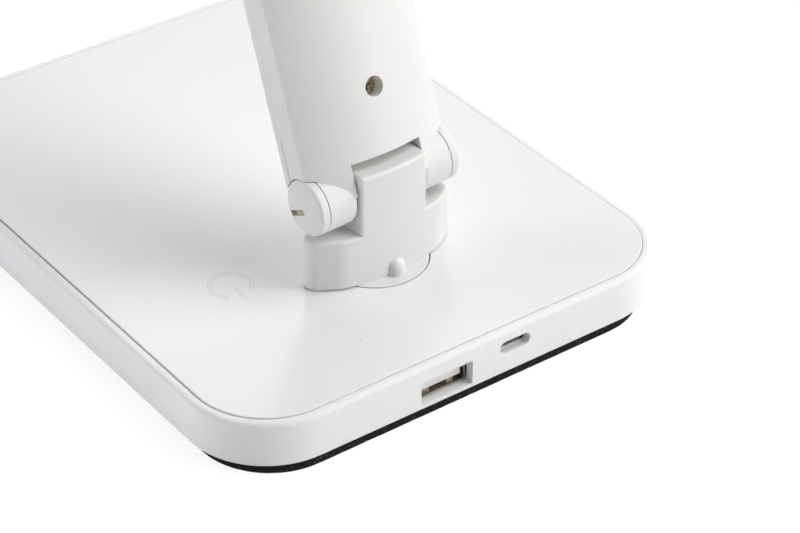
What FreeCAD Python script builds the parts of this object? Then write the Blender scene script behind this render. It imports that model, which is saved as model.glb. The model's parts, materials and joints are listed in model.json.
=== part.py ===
import FreeCAD, Part
import math
import os

# LED table lamp. Millimetres, +Z up, origin under the middle of the base on the resting plane.
# -Y is the side the user sits at, +Y is the rear with the ports.

# Base footprint and heights
BASE_W = 122.3
BASE_L = 160.0
BASE_CORNER_R = 20.0
BASE_TOP_Z = 13.4
PAD_T = 2.2
PAD_SIDE_INSET = 3.0
PAD_END_INSET = 0.1
PAD_SHIFT = 1.4
SHELL_WALL = 1.98
SHELL_FLOOR = 1.6
RIM_R = 1.1
RIM_DROP = 0.15
RIM_INNER_R = 0.2
PANEL_T = 2.0
PANEL_GAP = 0.24
PANEL_SHIFT = -0.2
PANEL_ROLL_DROP = 0.1
PANEL_EDGE_R = 0.25

# Ports in the rear wall
PORT_RECESS = 2.3
PORT_LIP = 0.5
USB_X = 7.55
USB_Z = 6.15
USB_W = 14.0
USB_H = 6.1
USB_DEPTH = 13.5
MICRO_X = -11.25
MICRO_Z = 8.83
MICRO_W = 8.5
MICRO_H = 3.1
MICRO_DEPTH = 5.2
USB_BLADE_LOW = 1.22
USB_BLADE_T = 1.83
USB_BLADE_SET = 0.4
BOARD_T = 1.2

# Touch key
MARK_X = 30.6
MARK_INSET = 50.0
MARK_R = 5.35
MARK_STROKE = 1.15
MARK_DEPTH = 0.4
MARK_GAP_DEG = 42.0

# Swivel turret, turned a little about its axis at rest
TURRET_X = -2.11
TURRET_INSET = 40.28
TURRET_TURN_DEG = 2.1
TURRET_W = 39.7
TURRET_D = 16.1
TURRET_FLANK = 0.685
TURRET_TIP = 0.31
TURRET_LIFT = 0.4
SHOULDER_EDGE_R = 0.7
DISC_R = 12.44
DISC_GAP = 0.3
DISC_PROUD = 0.1
NUB_R = 2.12
NUB_H = 3.8
SPINDLE_R = 4.0
SPINDLE_BORE_R = 2.6
PLATE_R = 20.0
PLATE_T = 1.6
SLIP_T = 0.5

# Tilt hinge
HINGE_Z = 34.34
KNUCKLE_R = 6.64
SHOULDER_GAP = 1.28
TONGUE_W = 18.32
TONGUE_R = 7.1
TONGUE_EDGE_R = 0.8
TONGUE_SIDE_GAP = 0.36
TONGUE_TOP_GAP = 0.48
CAP_SEAM = 16.98
CAP_FACE = 19.5
CAP_DOME = 0.5
CAP_RIM_R = 0.8
CAP_SLOT_W = 1.4
CAP_SLOT_DROP = 0.7
SCALLOP_GAP = 0.25
PIN_R = 2.0
BUSH_T = 1.4

# Arm
ARM_LEAN_DEG = 19.63
ARM_LEN = 240.0
ARM_HALF_W = 19.24
ARM_FRONT = -5.78
ARM_EDGE = 2.02
ARM_BACK = 8.35
ARM_SEAM = -3.44
ARM_WALL = 1.6
ARM_SCREW_S = 22.8
ARM_SCREW_HEAD_R = 2.2
ARM_SCREW_SINK = 3.3
SEAM_RELIEF_L = 15.2

# Head
HEAD_LEAN_DEG = 90.0
HEAD_LEN = 200.0
HEAD_START = 8.2
HEAD_HALF_W = 21.0
HEAD_UNDER = -5.5
HEAD_EDGE = 0.5
HEAD_BACK = 5.2
HEAD_SPLIT = -2.0
HEAD_WALL = 1.6
HEAD_TIP_R = 14.0
HEAD_TONGUE_R = 7.1
LED_PER_ROW = 16

# Screws and posts of the base
POST_R = 3.2
POST_INSET = 9.2
PANEL_SCREW_R = 1.25
PANEL_SCREW_HEAD_R = 2.5
BEARING_SCREW_R = 1.0
BEARING_SCREW_HEAD_R = 1.8
BEARING_SCREW_HEAD_T = 1.1

# Circuit board
BOARD_SIDE = 12.0
BOARD_INSET = 3.4
BOARD_REACH = 11.5
STAND_R = 2.6
BOARD_SCREW_R = 1.0
BOARD_SCREW_HEAD_R = 1.9
BOARD_SCREW_HEAD_T = 1.0
PART_INSET = 9.0
PART_STEP = 7.0
COIL_W = 5.0
COIL_H = 1.8
CHIP_W = 4.0
CHIP_H = 0.9
DRIVER_W = 6.0

# Weight, cells and electrode
WEIGHT_SIDE = 17.0
WEIGHT_CORNER_R = 4.0
PACK_CORNER_R = 3.0
ELECTRODE_T = 0.3

# Sheet metal and blades of the ports
FRAME_SIDE = 2.5
USB_SHEET = 0.35
TAB_L = 3.0
TAB_W = 2.0
SPRING_W = 1.8
SPRING_RISE = 0.55
TONGUE_BACK = 2.4
MICRO_SHEET = 0.25

# Hinge hardware
WEB_T = 3.2
KNUCKLE_END_R = 0.9
WASHER_T = 0.8
BOLT_HEAD_T = 2.0
CAP_PLUG_L = 0.9
CAP_STEP = 0.3
CAP_SLOT_TURN_DEG = 10.2

# Inside the arm
ARM_EDGE_R = 0.3
ARM_SCREW_R = 1.25
ARM_SCREW_HEAD_T = 1.4
SEAM_RELIEF = 0.3
LEAD_HOLE_R = 1.6
BAR_T = 1.5
BAR_END = 6.0
BAR_SIDE = 2.5
LEAD_W = 3.0
LEAD_T = 1.5
LEAD_END = 4.0

# Light source and head screws
NECK_L = 20.0
LED_BOARD_T = 1.2
LED_T = 0.8
LED_W = 2.8
LED_L = 3.5
LED_SCREW_R = 1.0
WINDOW_LIP = 4.0
WINDOW_LEDGE = 1.2
KNUCKLE_SCREW_R = 1.1
KNUCKLE_SCREW_HEAD_R = 2.0

# Running and sliding clearances
RUN_GAP = 0.06
FACE_GAP = 0.1
DROP_GAP = 0.15

V = FreeCAD.Vector
os.makedirs("parts", exist_ok=True)


def block(x0, x1, y0, y1, z0, z1):
    """Box between two corners."""
    return Part.makeBox(x1 - x0, y1 - y0, z1 - z0, V(x0, y0, z0))


def post(r, x, y, z0, z1):
    """Upright cylinder."""
    return Part.makeCylinder(r, z1 - z0, V(x, y, z0))


def rod(r, x0, x1, z=0.0):
    """Cylinder along X at height z."""
    return Part.makeCylinder(r, x1 - x0, V(x0, 0, z), V(1, 0, 0))


def bolt_y(r, x, z, y0, y1):
    """Cylinder along Y."""
    return Part.makeCylinder(r, y1 - y0, V(x, y0, z), V(0, 1, 0))


def tube(r_out, r_in, x, y, z0, z1):
    """Upright ring."""
    return post(r_out, x, y, z0, z1).cut(post(r_in, x, y, z0, z1))


def hex_rod(across, x0, x1):
    """Hexagonal prism along X."""
    corner = across / math.sqrt(3)
    turns = [math.radians(60 * i) for i in range(7)]
    ring = [V(x0, corner * math.cos(t), corner * math.sin(t)) for t in turns]
    return Part.Face(Part.makePolygon(ring)).extrude(V(x1 - x0, 0, 0))


def joined(shapes):
    """One solid from several that touch or overlap."""
    return shapes[0].fuse(shapes[1:]).removeSplitter()


def rounded_prism(x0, x1, y0, y1, z0, z1, r):
    """Box with round upright edges."""
    body = block(x0, x1, y0, y1, z0, z1)
    upright = [e for e in body.Edges if abs(e.tangentAt(e.FirstParameter).z) > 0.9]
    return body.makeFillet(r, upright)


def footprint(inset, z0, z1):
    """The base's plan moved in by an inset, as a prism."""
    half_w = BASE_W / 2 - inset
    half_l = BASE_L / 2 - inset
    return rounded_prism(-half_w, half_w, -half_l, half_l, z0, z1, BASE_CORNER_R - inset)


def lens_prism(z0, z1):
    """Prism with a wide arc at the rear, slanting flanks, round tips and a deeper arc at the front."""
    half_w = TURRET_W / 2
    half_d = TURRET_D / 2
    face_r = 7.25 * half_d
    flank_x = TURRET_FLANK * half_w
    flank_y = half_d - face_r + math.sqrt(face_r ** 2 - flank_x ** 2)
    tip_y = TURRET_TIP * half_d
    front_y = -0.056 * half_d
    spots = [(flank_x, flank_y), (half_w, tip_y), (half_w, front_y)]
    right = [V(x, y, z0) for x, y in spots]
    left = [V(-x, y, z0) for x, y in reversed(spots)]
    rear_arc = Part.Arc(left[2], V(0, half_d, z0), right[0]).toShape()
    front_arc = Part.Arc(right[2], V(0, -half_d, z0), left[0]).toShape()
    wire = Part.Wire([rear_arc, Part.makePolygon(right), front_arc, Part.makePolygon(left)])
    body = Part.Face(wire).extrude(V(0, 0, z1 - z0))
    for (x, y), r in zip(spots, (1.0, 0.465, 0.12)):
        near = [e for e in body.Edges if e.BoundBox.ZLength > 0.9 * (z1 - z0)
                and abs(abs(e.CenterOfMass.x) - x) < 0.01 and abs(e.CenterOfMass.y - y) < 0.01]
        body = body.makeFillet(r * half_d, near)
    body.translate(V(TURRET_X, TURRET_Y, 0))
    return body


def d_prism(half_w, front, edge, back, s0, s1):
    """Prism along Z with a flat front, flat sides and a convex back."""
    a = V(-half_w, front, s0)
    b = V(half_w, front, s0)
    c = V(half_w, edge, s0)
    d = V(-half_w, edge, s0)
    arc = Part.Arc(c, V(0, back, s0), d).toShape()
    sides = [Part.makeLine(a, b), Part.makeLine(b, c), arc, Part.makeLine(d, a)]
    return Part.Face(Part.Wire(sides)).extrude(V(0, 0, s1 - s0))


def inner_edge(half_w, edge, back, wall):
    """Where a convex back moved in by the wall meets the side moved in by the wall."""
    rise = back - edge
    r = (half_w ** 2 + rise ** 2) / (2 * rise)
    return back - r + math.sqrt((r - wall) ** 2 - (half_w - wall) ** 2)


def leaned(shape, degrees, at):
    """A shape built upright about the origin, leaned forward about X and moved."""
    out = shape.copy()
    out.rotate(V(0, 0, 0), V(1, 0, 0), degrees)
    out.translate(at)
    return out


def save(name, shape):
    """Writes one node."""
    shape.exportStep("parts/" + name + ".step")


# Places measured from the base's rear edge
TURRET_Y = BASE_L / 2 - TURRET_INSET
MARK_Y = BASE_L / 2 - MARK_INSET

# Levels inside the base
FLOOR_Z = PAD_T + SHELL_FLOOR
PANEL_Z = BASE_TOP_Z - PANEL_T
RIM_Z = BASE_TOP_Z - RIM_DROP
ROOM = PANEL_Z - FLOOR_Z
WALL_Y = BASE_L / 2 - SHELL_WALL
PORT_Y = BASE_L / 2 - PORT_RECESS

# Foot pad, glued a little off the middle
pad_x = BASE_W / 2 - PAD_SIDE_INSET
pad_y = BASE_L / 2 - PAD_END_INSET
pad_r = 0.9 * BASE_CORNER_R
save("foot_pad", rounded_prism(PAD_SHIFT - pad_x, PAD_SHIFT + pad_x, -pad_y, pad_y, 0, PAD_T, pad_r))

# Screw posts under the lid, with the screws that come up through the floor
PANEL_SCREW_HEAD_T = 0.75 * SHELL_FLOOR
post_x = BASE_W / 2 - POST_INSET
post_y = BASE_L / 2 - 1.5 * POST_INSET
post_spots = [(sx * post_x, y) for sx in (-1, 1) for y in (-post_y, 0, post_y)]
screw_top = FLOOR_Z + 0.7 * ROOM
panel_screws = []
for x, y in post_spots:
    head = Part.makeCone(PANEL_SCREW_HEAD_R, PANEL_SCREW_R, PANEL_SCREW_HEAD_T, V(x, y, PAD_T))
    slots = block(x - 1.5, x + 1.5, y - 0.3, y + 0.3, PAD_T, PAD_T + 0.5)
    slots = slots.fuse(block(x - 0.3, x + 0.3, y - 1.5, y + 1.5, PAD_T, PAD_T + 0.5))
    shank = post(PANEL_SCREW_R, x, y, PAD_T + PANEL_SCREW_HEAD_T, screw_top)
    panel_screws.append(joined([head, shank]).cut(slots))
save("panel_screws", Part.makeCompound(panel_screws))

# Circuit board levels and plan
MICRO_SHELL_H = MICRO_H - 0.5
BOARD_TOP = MICRO_Z - MICRO_SHELL_H / 2
BOARD_Z = BOARD_TOP - BOARD_T
board_x0 = MICRO_X - MICRO_W / 2 - BOARD_SIDE
board_x1 = USB_X + USB_W / 2 + BOARD_SIDE
board_y1 = PORT_Y - 0.4
board_y0 = TURRET_Y + BOARD_REACH
board_spots = [(x, y) for x in (board_x0 + BOARD_INSET, board_x1 - BOARD_INSET)
               for y in (board_y0 + BOARD_INSET, board_y1 - BOARD_INSET)]

# Base shell
usb_low = USB_Z - USB_H / 2
usb_hole = block(USB_X - USB_W / 2, USB_X + USB_W / 2, PORT_Y - 1, BASE_L / 2 + 1,
                 usb_low, USB_Z + USB_H / 2)
micro_r = MICRO_H / 2
micro_dx = MICRO_W / 2 - micro_r
micro_hole = block(MICRO_X - micro_dx, MICRO_X + micro_dx, PORT_Y - 1, BASE_L / 2 + 1,
                   MICRO_Z - micro_r, MICRO_Z + micro_r)
for side in (-1, 1):
    end = bolt_y(micro_r, MICRO_X + side * micro_dx, MICRO_Z, PORT_Y - 1, BASE_L / 2 + 1)
    micro_hole = micro_hole.fuse(end)
micro_lip = block(MICRO_X - MICRO_W, MICRO_X + MICRO_W, PORT_Y - 1, PORT_Y + PORT_LIP, MICRO_Z - MICRO_H, BOARD_TOP)
micro_hole = micro_hole.cut(micro_lip)
tub = footprint(0, PAD_T, RIM_Z)
top_edges = [e for e in tub.Edges if e.BoundBox.ZMin > RIM_Z - 0.001]
tub = tub.makeFillet(RIM_R, top_edges)
tub = tub.cut(footprint(SHELL_WALL, FLOOR_Z, BASE_TOP_Z + 1))
lip_x = BASE_W / 2 - SHELL_WALL + 0.01
lip_y = BASE_L / 2 - SHELL_WALL + 0.01
inner_lip = [e for e in tub.Edges
             if all(v.Z > RIM_Z - 0.001 and abs(v.X) < lip_x and abs(v.Y) < lip_y for v in e.Vertexes)]
tub = tub.makeFillet(RIM_INNER_R, inner_lip)
port_frame = block(MICRO_X - MICRO_W / 2 - FRAME_SIDE, USB_X + USB_W / 2 + FRAME_SIDE,
                   PORT_Y, WALL_Y + 0.5, FLOOR_Z - 0.2, PANEL_Z - PANEL_GAP)
stands = [post(STAND_R, x, y, FLOOR_Z - 0.2, BOARD_Z) for x, y in board_spots]
shell = joined([tub, port_frame] + stands)
relief = block(USB_X - USB_W / 2, USB_X + USB_W / 2, PORT_Y - USB_DEPTH - 2, PORT_Y, usb_low, FLOOR_Z + 1)
shell = shell.cut([usb_hole, micro_hole, relief])
for x, y in board_spots:
    shell = shell.cut(post(BOARD_SCREW_R, x, y, FLOOR_Z + 0.3, BOARD_TOP))
for x, y in post_spots:
    shell = shell.cut(Part.makeCone(PANEL_SCREW_HEAD_R, PANEL_SCREW_R, PANEL_SCREW_HEAD_T, V(x, y, PAD_T)))
    shell = shell.cut(post(PANEL_SCREW_R, x, y, PAD_T, FLOOR_Z + 1))
save("base_shell", shell)

# Top panel with its edge rolled off, seated a little to one side in the tub
panel_inset = SHELL_WALL + PANEL_GAP
panel_r = BASE_CORNER_R - panel_inset
roll_w = 0.7 * panel_r
roll_run = roll_w - PANEL_EDGE_R
roll_r = (roll_run ** 2 + PANEL_ROLL_DROP ** 2) / (2 * PANEL_ROLL_DROP)
bend = math.asin(roll_run / roll_r) / 2
low_z = BASE_TOP_Z - PANEL_ROLL_DROP
edge_z = low_z - PANEL_EDGE_R
panel_x = BASE_W / 2 - panel_inset
panel_y = BASE_L / 2 - panel_inset
straight_x = panel_x - panel_r
straight_y = panel_y - panel_r


def roll_face(reach):
    """What the rolled edge takes away, in the XZ plane, with the panel's edge at the reach."""
    start = V(reach - roll_w, 0, BASE_TOP_Z)
    mid = V(reach - roll_w + roll_r * math.sin(bend), 0, BASE_TOP_Z - roll_r * (1 - math.cos(bend)))
    lip = V(reach - PANEL_EDGE_R, 0, low_z)
    turn_in = PANEL_EDGE_R * (1 - math.sin(math.pi / 4))
    nose = V(reach - turn_in, 0, low_z - turn_in)
    end = V(reach, 0, edge_z)
    over = BASE_TOP_Z + 1
    arcs = [Part.Arc(start, mid, lip).toShape(), Part.Arc(lip, nose, end).toShape()]
    ring = [end, V(reach + 1, 0, edge_z), V(reach + 1, 0, over), V(reach - roll_w, 0, over), start]
    return Part.Face(Part.Wire(arcs + [Part.makePolygon(ring)]))


panel = footprint(panel_inset, PANEL_Z, BASE_TOP_Z)
for turn in range(4):
    along = turn % 2 == 0
    reach = panel_x if along else panel_y
    half = straight_y if along else straight_x
    side = roll_face(reach)
    side.translate(V(0, -half, 0))
    side = side.extrude(V(0, 2 * half, 0))
    side.rotate(V(0, 0, 0), V(0, 0, 1), 90 * turn)
    corner = roll_face(panel_r).revolve(V(0, 0, 0), V(0, 0, 1), 90)
    corner.rotate(V(0, 0, 0), V(0, 0, 1), 90 * turn)
    sign_x = 1 if turn in (0, 3) else -1
    sign_y = 1 if turn in (0, 1) else -1
    corner.translate(V(sign_x * straight_x, sign_y * straight_y, 0))
    panel = panel.cut([side, corner])
panel.translate(V(PANEL_SHIFT, 0, 0))
panel = joined([panel] + [post(POST_R, x, y, FLOOR_Z, PANEL_Z + 0.5) for x, y in post_spots])
for x, y in post_spots:
    panel = panel.cut(post(PANEL_SCREW_R, x, y, FLOOR_Z - 1, screw_top))
panel = panel.cut(post(DISC_R + DISC_GAP, TURRET_X, TURRET_Y, PANEL_Z - 1, BASE_TOP_Z + 1))

# Touch mark: an open ring with a bar in the gap, let in flush
mark_low = BASE_TOP_Z - MARK_DEPTH
mid_r = MARK_R - MARK_STROKE / 2
stroke_r = MARK_STROKE / 2
gap = math.radians(MARK_GAP_DEG)
ring = tube(MARK_R, MARK_R - MARK_STROKE, 0, 0, mark_low, BASE_TOP_Z)
far = 3 * MARK_R
fan = [V(0, 0, mark_low - 1), V(far * math.sin(gap), far * math.cos(gap), mark_low - 1),
       V(-far * math.sin(gap), far * math.cos(gap), mark_low - 1), V(0, 0, mark_low - 1)]
ring = ring.cut(Part.Face(Part.makePolygon(fan)).extrude(V(0, 0, MARK_DEPTH + 2)))
ends = [post(stroke_r, side * mid_r * math.sin(gap), mid_r * math.cos(gap), mark_low, BASE_TOP_Z)
        for side in (-1, 1)]
ring = joined([ring] + ends)
bar_y0 = 0.42 * MARK_R
bar_y1 = 1.18 * MARK_R
bar = joined([block(-stroke_r, stroke_r, bar_y0, bar_y1, mark_low, BASE_TOP_Z),
              post(stroke_r, 0, bar_y0, mark_low, BASE_TOP_Z),
              post(stroke_r, 0, bar_y1, mark_low, BASE_TOP_Z)])
mark = Part.makeCompound([ring, bar])
mark.translate(V(MARK_X, MARK_Y, 0))
save("touch_mark", mark)
for piece in mark.Solids:
    panel = panel.cut(piece)
bearing_turns = [math.radians(a) for a in (30, 150, 270)]
bearing_ring = (DISC_R + DISC_GAP + PLATE_R) / 2
bearing_spots = [(TURRET_X + bearing_ring * math.cos(t), TURRET_Y + bearing_ring * math.sin(t))
                 for t in bearing_turns]
bite_z = PANEL_Z + 0.6 * PANEL_T
for x, y in bearing_spots:
    panel = panel.cut(post(BEARING_SCREW_R, x, y, PANEL_Z - 1, bite_z))
save("top_panel", panel)
save("touch_electrode", post(1.4 * MARK_R, MARK_X, MARK_Y, PANEL_Z - ELECTRODE_T, PANEL_Z))

# Bearing under the lid that the turret turns on
plate_z = PANEL_Z - PLATE_T
plate = tube(PLATE_R, SPINDLE_R + RUN_GAP, TURRET_X, TURRET_Y, plate_z, PANEL_Z)
bearing_screws = []
for x, y in bearing_spots:
    plate = plate.cut(post(BEARING_SCREW_R, x, y, plate_z - 1, PANEL_Z + 1))
    head = post(BEARING_SCREW_HEAD_R, x, y, plate_z - BEARING_SCREW_HEAD_T, plate_z)
    bearing_screws.append(joined([head, post(BEARING_SCREW_R, x, y, plate_z, bite_z)]))
save("bearing_plate", plate)
save("bearing_screws", Part.makeCompound(bearing_screws))
save("slip_washer", tube(DISC_R - 1, SPINDLE_R + 1, TURRET_X, TURRET_Y, PANEL_Z, PANEL_Z + SLIP_T))

# Weight and cells in the front of the base
WEIGHT_T = 0.38 * ROOM
PACK_T = 0.44 * ROOM
weight_x = BASE_W / 2 - WEIGHT_SIDE
weight_y0 = -BASE_L / 2 + WEIGHT_SIDE
weight_y1 = TURRET_Y - PLATE_R - WEIGHT_CORNER_R
weight = rounded_prism(-weight_x, weight_x, weight_y0, weight_y1,
                       FLOOR_Z, FLOOR_Z + WEIGHT_T, WEIGHT_CORNER_R)
save("weight_plate", weight)
pack_z = FLOOR_Z + WEIGHT_T
pack_x = 0.8 * weight_x
pack_y = (weight_y0 + weight_y1) / 2
pack_half = 0.42 * (weight_y1 - weight_y0)
pack = rounded_prism(-pack_x, pack_x, pack_y - pack_half, pack_y + pack_half,
                     pack_z, pack_z + PACK_T, PACK_CORNER_R)
save("battery_pack", pack)

# USB outlet: steel shell with a front lip, tongue and contacts
USB_SHELL_W = USB_W - 0.9
USB_SHELL_H = USB_H - 0.4
usb_x0 = USB_X - USB_SHELL_W / 2
usb_x1 = USB_X + USB_SHELL_W / 2
usb_z0 = USB_Z - USB_SHELL_H / 2
usb_z1 = USB_Z + USB_SHELL_H / 2
usb_y0 = PORT_Y - USB_DEPTH
usb_shell = block(usb_x0, usb_x1, usb_y0, PORT_Y, usb_z0, usb_z1)
usb_inside = block(usb_x0 + USB_SHEET, usb_x1 - USB_SHEET, usb_y0 + USB_SHEET, PORT_Y + 1,
                   usb_z0 + USB_SHEET, usb_z1 - USB_SHEET)
usb_shell = usb_shell.cut(usb_inside)
tab_y = usb_y0 + 0.5 * USB_DEPTH
tabs = [block(usb_x1 - 0.1, usb_x1 + TAB_W, tab_y, tab_y + TAB_L, BOARD_TOP, BOARD_TOP + USB_SHEET),
        block(usb_x0 - TAB_W, usb_x0 + 0.1, tab_y, tab_y + TAB_L, BOARD_TOP, BOARD_TOP + USB_SHEET)]
spring_z = usb_z0 + USB_SHEET
springs = [block(x - SPRING_W / 2, x + SPRING_W / 2, PORT_Y - 4.2, PORT_Y - 1.2,
                 spring_z - 0.05, spring_z + SPRING_RISE)
           for x in (USB_X - 0.25 * USB_SHELL_W, USB_X + 0.25 * USB_SHELL_W)]
save("usb_a_shell", joined([usb_shell] + tabs + springs))
blade_z0 = USB_Z - USB_BLADE_LOW
blade_z1 = blade_z0 + USB_BLADE_T
blade_half = 0.42 * USB_SHELL_W
back_y = usb_y0 + USB_SHEET + TONGUE_BACK
heel = block(usb_x0 + USB_SHEET, usb_x1 - USB_SHEET, usb_y0 + USB_SHEET, back_y,
             usb_z0 + USB_SHEET, usb_z1 - USB_SHEET)
blade = block(USB_X - blade_half, USB_X + blade_half, back_y - 0.2, PORT_Y - USB_BLADE_SET, blade_z0, blade_z1)
save("usb_a_tongue", joined([heel, blade]))
contacts = []
for i in (-1.5, -0.5, 0.5, 1.5):
    x = USB_X + i * 0.2 * USB_SHELL_W
    contacts.append(block(x - 0.5, x + 0.5, back_y, PORT_Y - 2.2, blade_z0 - 0.25, blade_z0))
save("usb_a_contacts", Part.makeCompound(contacts))

# USB power inlet
MICRO_SHELL_W = MICRO_W - 1.0
micro_x0 = MICRO_X - MICRO_SHELL_W / 2
micro_x1 = MICRO_X + MICRO_SHELL_W / 2
micro_y1 = PORT_Y - FACE_GAP
micro_y0 = micro_y1 - MICRO_DEPTH
micro_z1 = BOARD_TOP + MICRO_SHELL_H
bevel = 0.35 * MICRO_SHELL_H


def socket_prism(inset, y0, y1):
    """The inlet's section, with its two lower corners cut off."""
    x0 = micro_x0 + inset
    x1 = micro_x1 - inset
    z0 = BOARD_TOP + inset
    z1 = micro_z1 - inset
    ring = [V(x0, y0, z1), V(x1, y0, z1), V(x1, y0, z0 + bevel), V(x1 - bevel, y0, z0),
            V(x0 + bevel, y0, z0), V(x0, y0, z0 + bevel), V(x0, y0, z1)]
    return Part.Face(Part.makePolygon(ring)).extrude(V(0, y1 - y0, 0))


micro_room = socket_prism(MICRO_SHEET, micro_y0 + MICRO_SHEET, micro_y1 + 1)
save("micro_usb_shell", socket_prism(0, micro_y0, micro_y1).cut(micro_room))
micro_heel = socket_prism(MICRO_SHEET, micro_y0 + MICRO_SHEET, micro_y0 + MICRO_SHEET + 1.2)
blade_w = 0.27 * MICRO_SHELL_W
micro_blade = block(MICRO_X - blade_w, MICRO_X + blade_w, micro_y0 + MICRO_SHEET + 1, micro_y1 - 0.6,
                    MICRO_Z - 0.1 * MICRO_SHELL_H, MICRO_Z + 0.18 * MICRO_SHELL_H)
save("micro_usb_tongue", joined([micro_heel, micro_blade]))

# Circuit board, its parts and screws
board = block(board_x0, board_x1, board_y0, board_y1, BOARD_Z, BOARD_TOP)
bay = block(usb_x0 - DROP_GAP, usb_x1 + DROP_GAP, usb_y0 - DROP_GAP, board_y1 + 1, BOARD_Z - 1, BOARD_TOP + 1)
board = board.cut(bay)
board_screws = []
for x, y in board_spots:
    board = board.cut(post(BOARD_SCREW_R, x, y, BOARD_Z - 1, BOARD_TOP + 1))
    head = post(BOARD_SCREW_HEAD_R, x, y, BOARD_TOP, BOARD_TOP + BOARD_SCREW_HEAD_T)
    board_screws.append(joined([head, post(BOARD_SCREW_R, x, y, FLOOR_Z + 0.3, BOARD_TOP)]))
save("control_board", board)
save("board_screws", Part.makeCompound(board_screws))
coil_x = board_x1 - PART_INSET
driver_x = board_x0 + PART_INSET
part_y = (board_y0 + board_y1) / 2
part_sizes = [(coil_x, part_y, COIL_W, COIL_W, COIL_H),
              (coil_x, part_y - PART_STEP, CHIP_W, CHIP_W, CHIP_H),
              (driver_x, part_y, DRIVER_W, COIL_W, CHIP_H),
              (driver_x, part_y + PART_STEP, CHIP_W, CHIP_W / 2, CHIP_H)]
chips = [block(x - w / 2, x + w / 2, y - d / 2, y + d / 2, BOARD_TOP, BOARD_TOP + h)
         for x, y, w, d, h in part_sizes]
save("board_parts", Part.makeCompound(chips))

# Turret: disc, lens-shaped upright, hinge tongue and nub
disc_low = PANEL_Z + SLIP_T + FACE_GAP
disc_top = BASE_TOP_Z + DISC_PROUD
foot_z = BASE_TOP_Z + TURRET_LIFT
shoulder_z = HINGE_Z - KNUCKLE_R - SHOULDER_GAP
hinge_at = V(TURRET_X, TURRET_Y, HINGE_Z)
half_t = TONGUE_W / 2


def turned(name, shape):
    """Writes a node that turns with the turret, at the turret's turn at rest."""
    out = shape.copy()
    out.rotate(hinge_at, V(0, 0, 1), TURRET_TURN_DEG)
    save(name, out)


def tongue_blank(r, reach, low):
    """Hinge tongue about the origin: round at the front, square behind, with rounded side edges."""
    crown = Part.Arc(V(-half_t, -r, 0), V(-half_t, -r * math.sin(math.pi / 4), r * math.sin(math.pi / 4)),
                     V(-half_t, 0, r)).toShape()
    rest = Part.makePolygon([V(-half_t, 0, r), V(-half_t, reach, r), V(-half_t, reach, low),
                             V(-half_t, -r, low), V(-half_t, -r, 0)])
    blank = Part.Face(Part.Wire([crown, rest])).extrude(V(TONGUE_W, 0, 0))
    sides = [e for e in blank.Edges if e.BoundBox.XLength < 0.001 and e.CenterOfMass.z > 0
             and e.CenterOfMass.y < reach - 0.001]
    return blank.makeFillet(TONGUE_EDGE_R, sides)


disc = post(DISC_R, TURRET_X, TURRET_Y, disc_low, disc_top)
stem = lens_prism(disc_low, foot_z + 1).common(post(DISC_R, TURRET_X, TURRET_Y, disc_low, foot_z + 1))
upright = lens_prism(foot_z, shoulder_z)
rim = [e for e in upright.Edges if e.BoundBox.ZMin > shoulder_z - 0.001]
upright = upright.makeFillet(SHOULDER_EDGE_R, rim)
blank = tongue_blank(TONGUE_R, TURRET_D, foot_z - HINGE_Z + 1)
blank.translate(hinge_at)
tongue = lens_prism(foot_z, HINGE_Z + 2 * TONGUE_R).common(blank)
crest = [e for e in tongue.Edges if e.CenterOfMass.y > TURRET_Y + 0.4 * TURRET_D
         and abs(e.CenterOfMass.z - HINGE_Z - TONGUE_R) < 0.001]
tongue = tongue.makeFillet(TONGUE_EDGE_R, crest)
nub_y = TURRET_Y + TURRET_D / 2 - 0.1 * NUB_R
nub_top = disc_top + NUB_H - NUB_R
nub = post(NUB_R, TURRET_X, nub_y, disc_low, nub_top)
nub = nub.fuse(Part.makeSphere(NUB_R, V(TURRET_X, nub_y, nub_top)))
turret = joined([disc, stem, upright, tongue, nub])
spindle_top = foot_z + 0.62 * (shoulder_z - foot_z)
bush_r = PIN_R + RUN_GAP + BUSH_T
bush_bore = rod(bush_r, -half_t - 1, half_t + 1)
bush_bore.translate(hinge_at)
turret = turret.cut([post(SPINDLE_R, TURRET_X, TURRET_Y, disc_low - 1, spindle_top), bush_bore])
turned("turret", turret)
bushing = rod(bush_r, -half_t, half_t).cut(rod(PIN_R + RUN_GAP, -half_t - 1, half_t + 1))
turned("tilt_bushing", leaned(bushing, 0, hinge_at))

# Spindle and its friction stack under the bearing plate
STACK = plate_z - FACE_GAP - FLOOR_Z
wave_z = plate_z - FACE_GAP - 0.12 * STACK
washer_z = wave_z - 0.14 * STACK
nut_z = washer_z - 0.5 * STACK
spindle_low = nut_z - 0.06 * STACK
turned("swivel_spindle", tube(SPINDLE_R, SPINDLE_BORE_R, TURRET_X, TURRET_Y, spindle_low, spindle_top))
wave_washer = tube(SPINDLE_R + 2.6, SPINDLE_R, TURRET_X, TURRET_Y, wave_z, plate_z - FACE_GAP)
turned("swivel_wave_washer", wave_washer)
turned("swivel_washer", tube(SPINDLE_R + 3.2, SPINDLE_R, TURRET_X, TURRET_Y, washer_z, wave_z))
nut = hex_rod(3.25 * SPINDLE_R, 0, washer_z - nut_z)
nut.rotate(V(0, 0, 0), V(0, 1, 0), -90)
nut.translate(V(TURRET_X, TURRET_Y, nut_z))
turned("swivel_nut", nut.cut(post(SPINDLE_R, TURRET_X, TURRET_Y, nut_z - 1, washer_z + 1)))

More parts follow.
